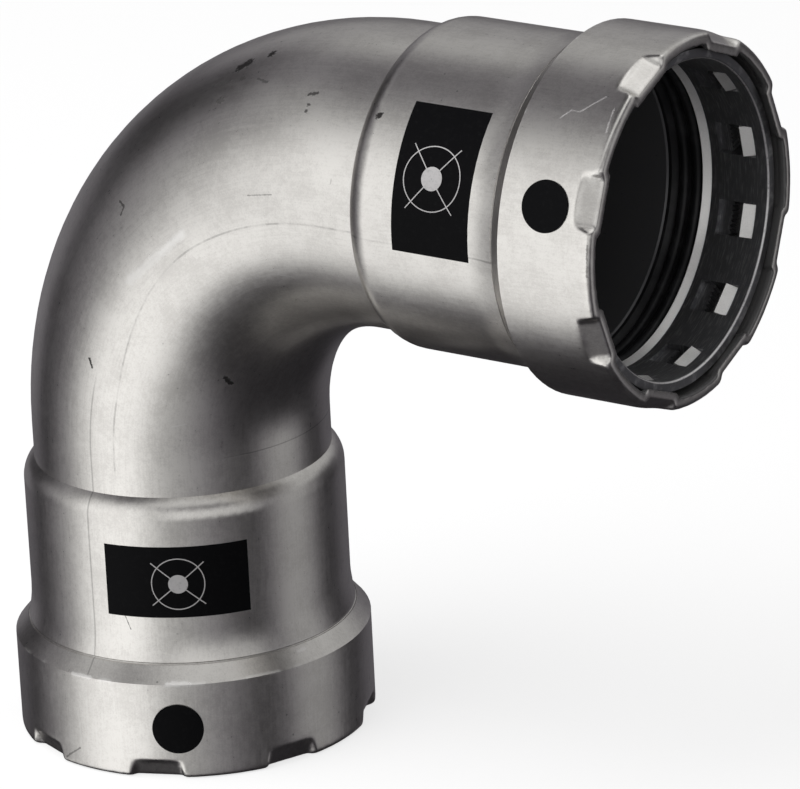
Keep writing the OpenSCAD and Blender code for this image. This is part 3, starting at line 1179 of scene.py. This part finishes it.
@dataclass
class Studio:
    """Floor, backdrop, world light, lamp and camera."""

    azimuth: float = 35.24
    elevation: float = 19.997
    roll: float = -2.867
    distance: float = 1986.54
    target: tuple[float, float] = (82.33, 117.97)
    focal: float = 6655.6
    sensor: float = 36.0
    clip: tuple[float, float] = (0.05, 100.0)
    floor_size: float = 16.0
    floor_tone: tuple[float, float] = (0.28, 0.72)
    dome_radius: float = 7.9
    dome_tone: tuple[float, float] = (0.0, 1.0)
    paper_roughness: float = 0.9
    lamp_size: float = 2.4
    lamp_power: float = 55.0
    lamp_place: Spot = (-0.5, -1.0, 2.2)
    lamp_aim: Spot = (0.06, 0.0, 0.1)
    gap_light: float = 0.02
    gap_fade: Ramp = Ramp(0.0, 0.4)
    gap_tint: Colour = (1.0, 0.94, 1.06)
    panel_tint: Colour = (1.0, 1.0, 1.0)

    def build(self) -> None:
        """Makes the whole set."""
        self.camera()
        self.floor()
        self.world()
        self.lamp()
        bpy.context.scene.view_settings.view_transform = "Standard"

    def camera(self) -> None:
        """Puts the camera at the photograph's viewpoint."""
        a, e, r = (math.radians(v) for v in (self.azimuth, self.elevation, self.roll))
        back = Vector((math.sin(a) * math.cos(e), -math.cos(a) * math.cos(e), math.sin(e)))
        right = Vector((math.cos(a), math.sin(a), 0.0))
        up = back.cross(right)
        side = right * math.cos(r) + up * math.sin(r)
        top = up * math.cos(r) - right * math.sin(r)
        data = bpy.data.cameras.new("camera")
        data.sensor_width = self.sensor
        data.lens = self.focal * self.sensor / PHOTO_WIDTH
        data.clip_start, data.clip_end = self.clip
        camera = bpy.data.objects.new("camera", data)
        bpy.context.scene.collection.objects.link(camera)
        pose = Matrix((side, top, back)).transposed().to_4x4()
        pose.translation = Vector((self.target[0], 0.0, self.target[1])) * MM + back * self.distance * MM
        camera.matrix_world = pose
        bpy.context.scene.camera = camera

    def floor(self) -> None:
        """Lays a pale floor with a domed backdrop round it."""
        bpy.ops.object.select_all(action="DESELECT")
        bpy.ops.mesh.primitive_plane_add(size=self.floor_size)
        floor = bpy.context.object
        floor.name = "floor"
        floor.data.materials.append(self.paper("floor_paper", *self.floor_tone))
        floor.visible_glossy = floor.visible_diffuse = False
        bpy.ops.mesh.primitive_uv_sphere_add(segments=48, ring_count=24, radius=self.dome_radius)
        dome = bpy.context.object
        dome.name = "backdrop"
        dome.data.materials.append(self.paper("backdrop_paper", *self.dome_tone))
        for ray in ("visible_glossy", "visible_diffuse", "visible_shadow", "visible_transmission"):
            setattr(dome, ray, False)

    def paper(self, name: str, lit: float, own: float) -> bpy.types.Material:
        """Makes pale paper with a share of its own white, so that shadows on it stay faint.

        Args:
            name: what to call the material.
            lit: tone of the part that takes the light.
            own: strength of its own white.

        Returns:
            The material.
        """
        made = bpy.data.materials.new(name)
        made.use_nodes = True
        shader = NodeSheet(made.node_tree).principled()
        shader.inputs["Base Color"].default_value = (lit, lit, lit, 1.0)
        shader.inputs["Roughness"].default_value = self.paper_roughness
        shader.inputs["Specular IOR Level"].default_value = 0.0
        shader.inputs["Emission Color"].default_value = (1.0, 1.0, 1.0, 1.0)
        shader.inputs["Emission Strength"].default_value = own
        made.cycles.emission_sampling = "NONE"
        return made

    def world(self) -> None:
        """Surrounds the object with soft panels of light and darker gaps between them."""
        world = bpy.data.worlds.new("studio")
        bpy.context.scene.world = world
        world.use_nodes = True
        sheet = NodeSheet(world.node_tree)
        toward = sheet.node("ShaderNodeTexCoord").outputs["Generated"]
        x, y, z = sheet.node("ShaderNodeSeparateXYZ", {0: toward}).outputs
        flat = sheet.vector("NORMALIZE", sheet.combine(x, y, 0.0)).outputs[0]
        height = sheet.math("MULTIPLY", sheet.math("ARCSINE", z), DEGREES)
        light = sheet.total(*((panel.level(sheet, flat, height), panel.strength) for panel in PANELS))
        colour = sheet.blend(sheet.span(light, self.gap_fade), self.gap_tint, self.panel_tint)
        strength = sheet.math("ADD", light, self.gap_light)
        back = sheet.node("ShaderNodeBackground", {"Color": colour, "Strength": strength})
        sheet.node("ShaderNodeOutputWorld", {"Surface": back.outputs[0]})

    def lamp(self) -> None:
        """Hangs a wide lamp above for the floor and the black pieces."""
        data = bpy.data.lights.new("overhead", "AREA")
        data.shape = "DISK"
        data.size = self.lamp_size
        data.energy = self.lamp_power
        lamp = bpy.data.objects.new("overhead", data)
        bpy.context.scene.collection.objects.link(lamp)
        lamp.location = self.lamp_place
        aim = Vector(self.lamp_aim) - lamp.location
        lamp.rotation_mode = "QUATERNION"
        lamp.rotation_quaternion = aim.to_track_quat("-Z", "Y")
        lamp.visible_glossy = False


@dataclass
class PressElbow:
    """The dressed elbow: CAD pieces with their finishes, and the printed fields."""

    frame: dict
    finishes: tuple[Finish, ...] = (PlatedSteel(), BrightSteel(), BlackCage(), SealRubber())
    black: PrintInk = PrintInk()
    pale: PrintInk = PrintInk("pale_ink", (0.42, 0.41, 0.41), (0.3, 0.3, 0.3))
    dark_prints: tuple[PrintedField | PrintedShape, ...] = (
        PrintedField(Leg.UPPER, (-94.6, -42.7), (44.8, 71.1)),
        PrintedField(Leg.LOWER, (-84.0, -32.1), (50.6, 73.4)),
        PrintedDot(Leg.UPPER, -70.7, 15.96, COLLAR_R + PRINT_GAP, 7.6),
        PrintedDot(Leg.LOWER, -59.9, 16.6, COLLAR_R + PRINT_GAP, 7.9),
    )
    pale_prints: tuple[PrintedShape, ...] = (
        PrintedTarget(Leg.UPPER, -68.3, 58.4, SOCKET_R + TARGET_GAP, 9.7),
        PrintedTarget(Leg.LOWER, -57.5, 61.5, SOCKET_R + TARGET_GAP, 8.3),
    )

    def dress(self) -> None:
        """Gives each CAD node the finish that is named like its slot."""
        materials = {finish.name: finish.material() for finish in self.finishes}
        slots = {row["node"]: row["material_slot"] for row in self.frame["record"]["subparts"]}
        for name, piece in self.frame["nodes"].items():
            piece.data.materials.clear()
            piece.data.materials.append(materials[slots[name]])
            LOG.info("%s takes %s", name, slots[name])

    def build(self) -> None:
        """Builds the rounded body and the prints, the dark ones first."""
        body = CrimpedBody(self.frame["nodes"]["elbow_body"]).build()
        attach(body, "root")
        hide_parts("elbow_body")
        LOG.info("%s built", body.name)
        for ink, prints in ((self.black, self.dark_prints), (self.pale, self.pale_prints)):
            coat = ink.material()
            for item in prints:
                piece = item.build()
                piece.data.materials.append(coat)
                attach(piece, "root")
                LOG.info("%s built", piece.name)


def main() -> None:
    """Loads the frame, dresses it and sets the studio."""
    logging.basicConfig(level=logging.INFO, format="%(message)s")
    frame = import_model()
    elbow = PressElbow(frame)
    elbow.dress()
    elbow.build()
    Studio().build()


if __name__ == "__main__":
    main()
